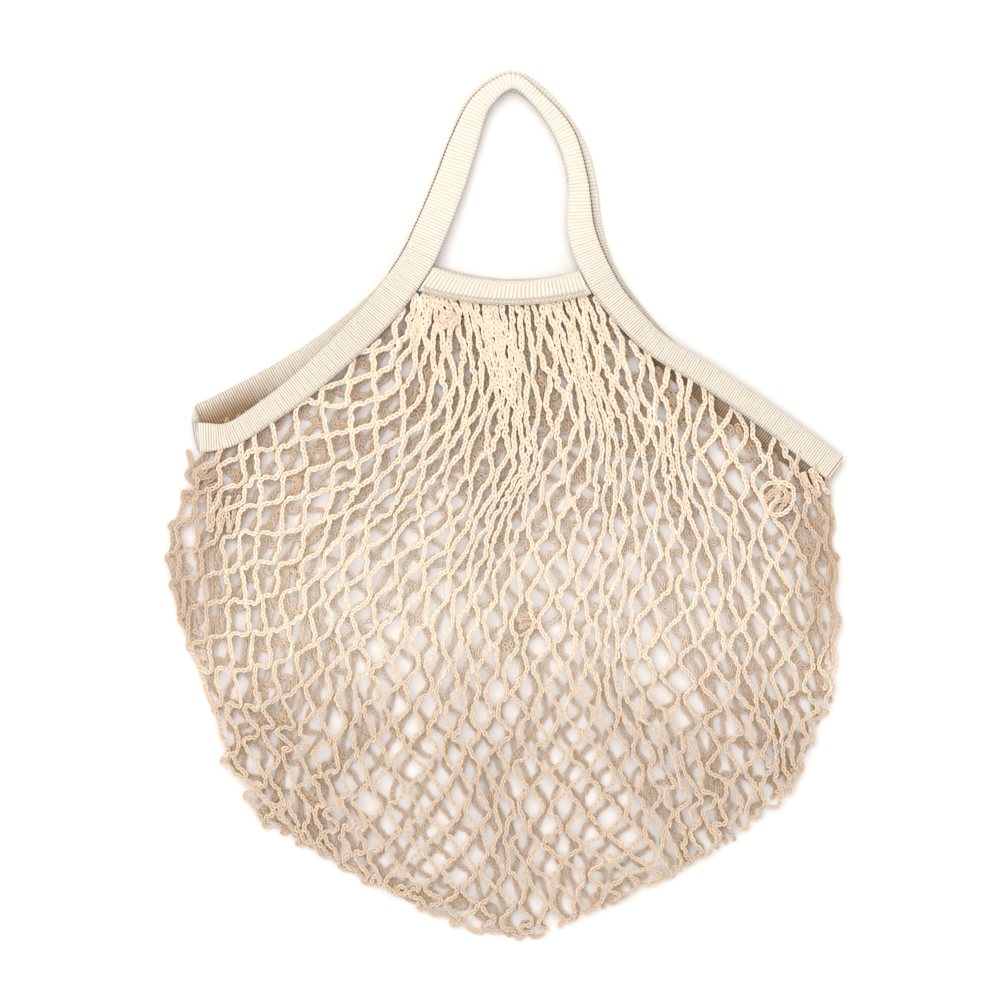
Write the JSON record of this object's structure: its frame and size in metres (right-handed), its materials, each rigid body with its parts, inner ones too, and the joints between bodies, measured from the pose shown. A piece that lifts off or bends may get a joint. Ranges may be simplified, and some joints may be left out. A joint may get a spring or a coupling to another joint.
{
  "type": "string bag",
  "caption": "Empty cotton string bag lying flat: a knitted net pouch with an open mouth, a continuous rib knit handle band and gathered rims between the handle feet.",
  "frame": {"origin": "middle of the underside of the bounding box, on the surface the bag lies on", "axes": "+X to the right of the shown face, +Y from the bottom of the bag to its handles, +Z out of the shown face, up from the table"},
  "size_m": [0.39, 0.498, 0.013],
  "materials": {
    "net_cotton": "undyed cotton yarn knitted into chain cords, matte",
    "band_cotton": "fine rib knit of undyed cotton, matte",
    "rim_cotton": "fine rib knit of undyed cotton with a line of stitches, matte"
  },
  "bodies": {
    "root": {"net": "net_cotton", "band": "band_cotton", "rim_front": "rim_cotton", "rim_back": "rim_cotton"}
  },
  "joints": []
}
